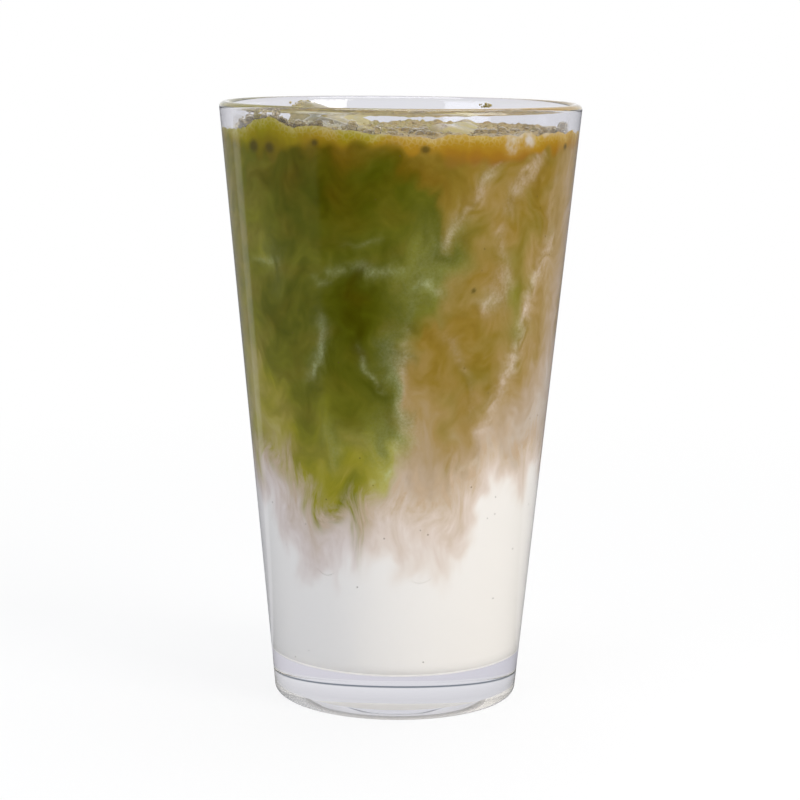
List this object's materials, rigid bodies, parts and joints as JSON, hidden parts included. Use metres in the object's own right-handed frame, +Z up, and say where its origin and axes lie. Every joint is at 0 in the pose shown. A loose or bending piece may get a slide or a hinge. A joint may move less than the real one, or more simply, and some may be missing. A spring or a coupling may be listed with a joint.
{
  "type": "hojicha latte in a glass",
  "caption": "Iced latte of matcha and roasted tea marbled into milk, with froth and ice cubes on top, in a tapered clear tumbler.",
  "frame": {"origin": "on the table under the middle of the tumbler's base", "axes": "+Z up along the tumbler's axis, -Y towards the drinker, +X to the drinker's right, where the hojicha is"},
  "size_m": [0.089, 0.089, 0.1484],
  "materials": {
    "soda_lime_glass": "clear, fire-polished",
    "milk": "opaque white liquid",
    "matcha": "opaque olive green liquid, marbled",
    "hojicha": "opaque tan brown liquid, marbled",
    "froth": "fine bubbles",
    "ice": "clear, cloudy core, wet"
  },
  "bodies": {
    "root": {"glass": "soda_lime_glass", "milk": "milk", "matcha": "matcha", "hojicha": "hojicha", "foam": "froth", "ice_front_left": "ice", "ice_front_right": "ice", "ice_back_left": "ice", "ice_back_right": "ice"}
  },
  "joints": []
}
